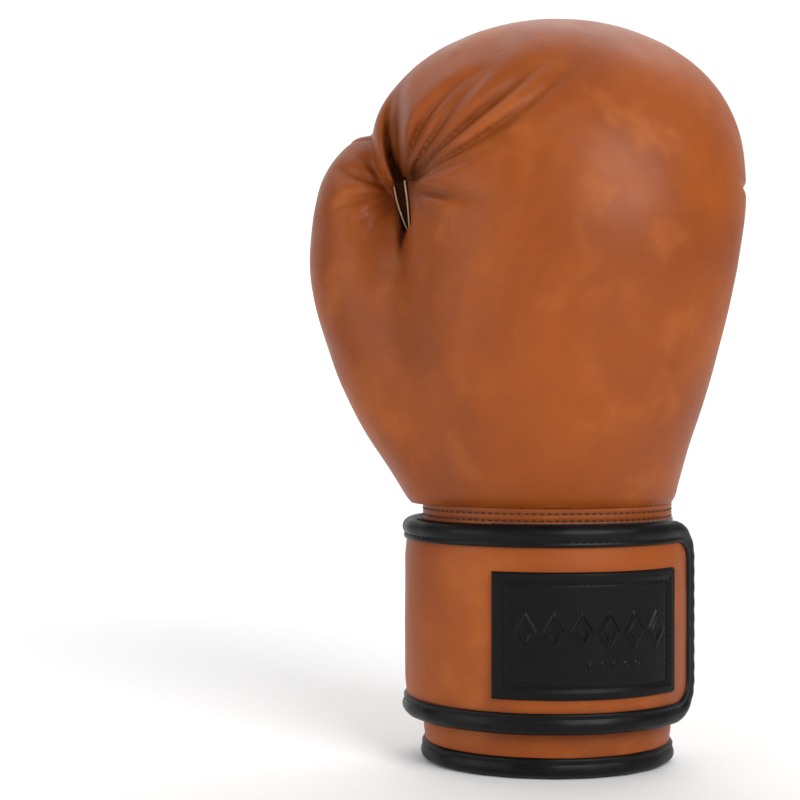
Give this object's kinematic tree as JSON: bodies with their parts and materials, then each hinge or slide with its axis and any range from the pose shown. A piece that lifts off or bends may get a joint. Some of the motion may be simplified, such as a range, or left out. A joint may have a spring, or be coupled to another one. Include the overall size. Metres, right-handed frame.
{
  "type": "boxing glove",
  "caption": "Right-hand boxing glove in tan leather with black binding, an attached thumb, a slit cuff and a wraparound hook-and-loop wrist strap.",
  "frame": {"origin": "centre of the cuff's mouth, on the plane that the hem stands on", "axes": "+Z along the forearm to the fist, +X to the little finger side, +Y out of the palm"},
  "size_m": [0.176, 0.1473, 0.3009],
  "materials": {
    "tan_leather": "antiqued, semi gloss, fine grain",
    "black_binding": "smooth semi gloss binding",
    "layered_foam": "closed-cell foam sheet",
    "black_lining": "smooth woven lining",
    "raw_leather_tether": "cut edges left raw",
    "hook_and_loop_tape": "fuzzy loop and stiff hook",
    "black_patch": "embossed, soft sheen",
    "bar_core_foam": "dense round foam",
    "bar_sleeve_fabric": "woven sleeve"
  },
  "bodies": {
    "glove": {"back_shell": "tan_leather", "palm_panel": "tan_leather", "palm_arch_facing": "tan_leather", "impact_foam_outer": "layered_foam", "impact_foam_core": "layered_foam", "impact_foam_inner": "layered_foam", "palm_pad": "layered_foam", "hand_lining": "black_lining", "grip_bar_sleeve": "bar_sleeve_fabric", "grip_bar_core": "bar_core_foam", "thumb_back_panel": "tan_leather", "thumb_inner_panel": "tan_leather", "thumb_pad": "layered_foam", "thumb_lining": "black_lining", "thumb_tether": "raw_leather_tether", "cuff_back_panel": "tan_leather", "cuff_thumb_side_panel": "tan_leather", "cuff_finger_side_panel": "tan_leather", "cuff_foam_back": "layered_foam", "cuff_foam_thumb_side": "layered_foam", "cuff_foam_finger_side": "layered_foam", "cuff_lining": "black_lining", "hem_binding": "black_binding", "wrist_band": "tan_leather", "slit_binding": "black_binding", "slit_binding_low": "black_binding", "loop_tape": "hook_and_loop_tape", "strap_anchor_pad": "layered_foam", "strap_lining_root": "black_lining", "strap_core_root": "layered_foam", "strap_leather_root": "tan_leather", "strap_binding_root": "black_binding"},
    "strap_length_1": {"strap_lining_length_1": "black_lining", "strap_core_length_1": "layered_foam", "strap_leather_length_1": "tan_leather", "strap_binding_length_1": "black_binding"},
    "strap_length_2": {"strap_lining_length_2": "black_lining", "strap_core_length_2": "layered_foam", "strap_leather_length_2": "tan_leather", "strap_binding_length_2": "black_binding"},
    "strap_length_3": {"strap_lining_length_3": "black_lining", "strap_core_length_3": "layered_foam", "strap_leather_length_3": "tan_leather", "strap_binding_length_3": "black_binding"},
    "strap_length_4": {"strap_lining_length_4": "black_lining", "strap_core_length_4": "layered_foam", "strap_leather_length_4": "tan_leather", "strap_binding_length_4": "black_binding"},
    "strap_tab": {"strap_lining_tab": "black_lining", "strap_core_tab": "layered_foam", "strap_leather_tab": "tan_leather", "strap_binding_tab": "black_binding", "hook_tape": "hook_and_loop_tape", "strap_patch": "black_patch"}
  },
  "joints": [
    {"name": "strap_bend_1", "type": "hinge", "parent": "glove", "child": "strap_length_1", "pos_m": [0.01812, 0.04601, 0.058], "axis": [0, 0, -1], "range_deg": [0, 30]},
    {"name": "strap_bend_2", "type": "hinge", "parent": "strap_length_1", "child": "strap_length_2", "pos_m": [-0.01182, 0.0474, 0.058], "axis": [0, 0, -1], "range_deg": [0, 30]},
    {"name": "strap_bend_3", "type": "hinge", "parent": "strap_length_2", "child": "strap_length_3", "pos_m": [-0.04321, 0.03256, 0.058], "axis": [0, 0, -1], "range_deg": [0, 32]},
    {"name": "strap_bend_4", "type": "hinge", "parent": "strap_length_3", "child": "strap_length_4", "pos_m": [-0.05819, -0.00407, 0.058], "axis": [0, 0, -1], "range_deg": [0, 32]},
    {"name": "strap_bend_5", "type": "hinge", "parent": "strap_length_4", "child": "strap_tab", "pos_m": [-0.03571, -0.0383, 0.058], "axis": [0, 0, -1], "range_deg": [0, 30]}
  ],
  "couplings": [
    {"joint": "strap_bend_2", "follows": "strap_bend_1", "ratio": 1},
    {"joint": "strap_bend_3", "follows": "strap_bend_1", "ratio": 1.0667},
    {"joint": "strap_bend_4", "follows": "strap_bend_1", "ratio": 1.0667},
    {"joint": "strap_bend_5", "follows": "strap_bend_1", "ratio": 1}
  ]
}
